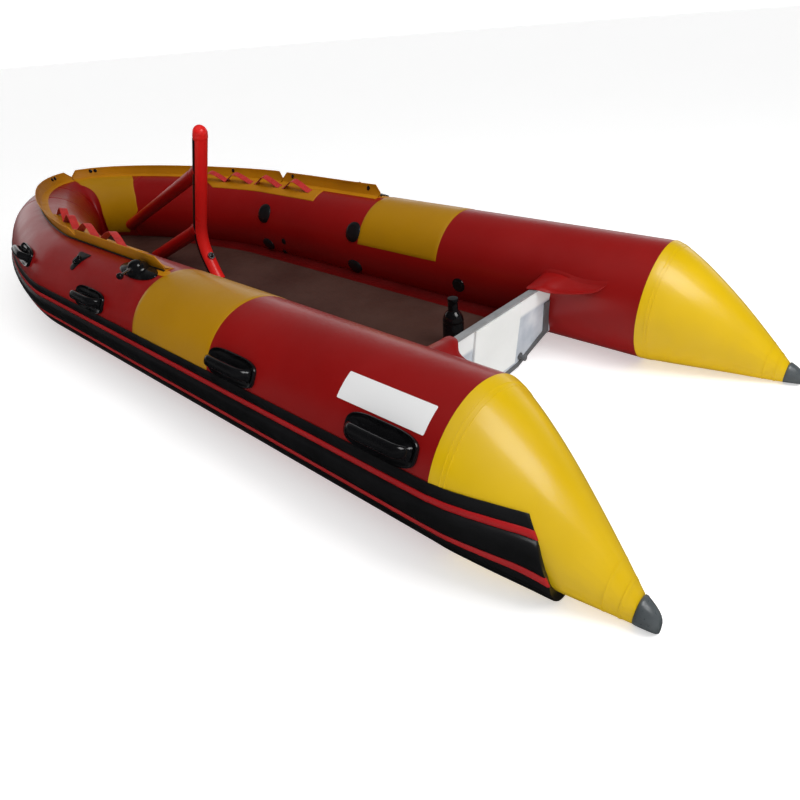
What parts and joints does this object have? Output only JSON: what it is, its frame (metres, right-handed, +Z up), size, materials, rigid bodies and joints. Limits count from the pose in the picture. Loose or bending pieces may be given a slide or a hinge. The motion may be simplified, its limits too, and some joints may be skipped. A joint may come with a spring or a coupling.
{
  "type": "inflatable inshore rescue boat",
  "caption": "Inflatable rescue boat: red and yellow air tubes round a flat deck, a transom for an outboard, a rub strake, a spray flap, grab handles and an inflatable frame on the centreline.",
  "frame": {"origin": "on the floor under the middle of the boat's box, where the tubes rest", "axes": "+Y towards the bow, +X to starboard, +Z up"},
  "size_m": [1.8084, 4.7222, 0.9156],
  "materials": {
    "red_fabric": "glossy coated fabric",
    "bright_red_fabric": "glossy coated fabric",
    "yellow_fabric": "glossy coated fabric",
    "flap_yellow": "satin coated fabric",
    "black_rubber": "satin",
    "red_rubber": "satin",
    "black_plastic": "moulded",
    "deck_brown": "matt, worn",
    "board_grey": "satin paint",
    "pad_white": "satin",
    "channel_grey": "satin",
    "steel": "polished"
  },
  "bodies": {
    "root": {"aft_tube_port": "red_fabric", "aft_tube_starboard": "red_fabric", "air_valve_port": "black_plastic", "air_valve_starboard": "black_plastic", "band_tube_port": "yellow_fabric", "band_tube_starboard": "yellow_fabric", "bow_nose": "red_fabric", "bow_shoulder_port": "red_fabric", "bow_shoulder_starboard": "red_fabric", "cone_cap_port": "black_plastic", "cone_cap_starboard": "black_plastic", "deck": "deck_brown", "deck_flap_port": "red_fabric", "deck_flap_starboard": "red_fabric", "drain_fitting": "channel_grey", "dring_pad_port": "black_rubber", "dring_pad_starboard": "black_rubber", "forward_tube_port": "red_fabric", "forward_tube_starboard": "red_fabric", "frame_brace_lower": "bright_red_fabric", "frame_brace_upper": "bright_red_fabric", "frame_post": "bright_red_fabric", "frame_valve": "steel", "hand_pump": "black_plastic", "handle_port_1": "black_plastic", "handle_port_2": "black_plastic", "handle_port_3": "black_plastic", "handle_port_4": "black_plastic", "handle_starboard_1": "black_plastic", "handle_starboard_2": "black_plastic", "handle_starboard_3": "black_plastic", "handle_starboard_4": "black_plastic", "hull_bottom": "red_fabric", "motor_pad_inner": "pad_white", "motor_pad_outer": "pad_white", "oarlock_pad_port": "black_rubber", "oarlock_pad_starboard": "black_rubber", "oarlock_pin_port": "steel", "oarlock_pin_starboard": "steel", "rub_strake_bow_port": "black_rubber", "rub_strake_bow_starboard": "black_rubber", "rub_strake_side_port": "black_rubber", "rub_strake_side_starboard": "black_rubber", "spray_flap_bow_port": "flap_yellow", "spray_flap_bow_starboard": "flap_yellow", "spray_flap_side_port": "flap_yellow", "spray_flap_side_starboard": "flap_yellow", "stern_cone_port": "yellow_fabric", "stern_cone_starboard": "yellow_fabric", "strake_stripe_lower": "red_rubber", "strake_stripe_upper": "red_rubber", "strap_patch_port": "flap_yellow", "strap_patch_starboard": "flap_yellow", "transom_board": "board_grey", "transom_channel": "channel_grey", "transom_edging": "channel_grey", "transom_gusset_port": "red_fabric", "transom_gusset_starboard": "red_fabric"}
  },
  "joints": []
}
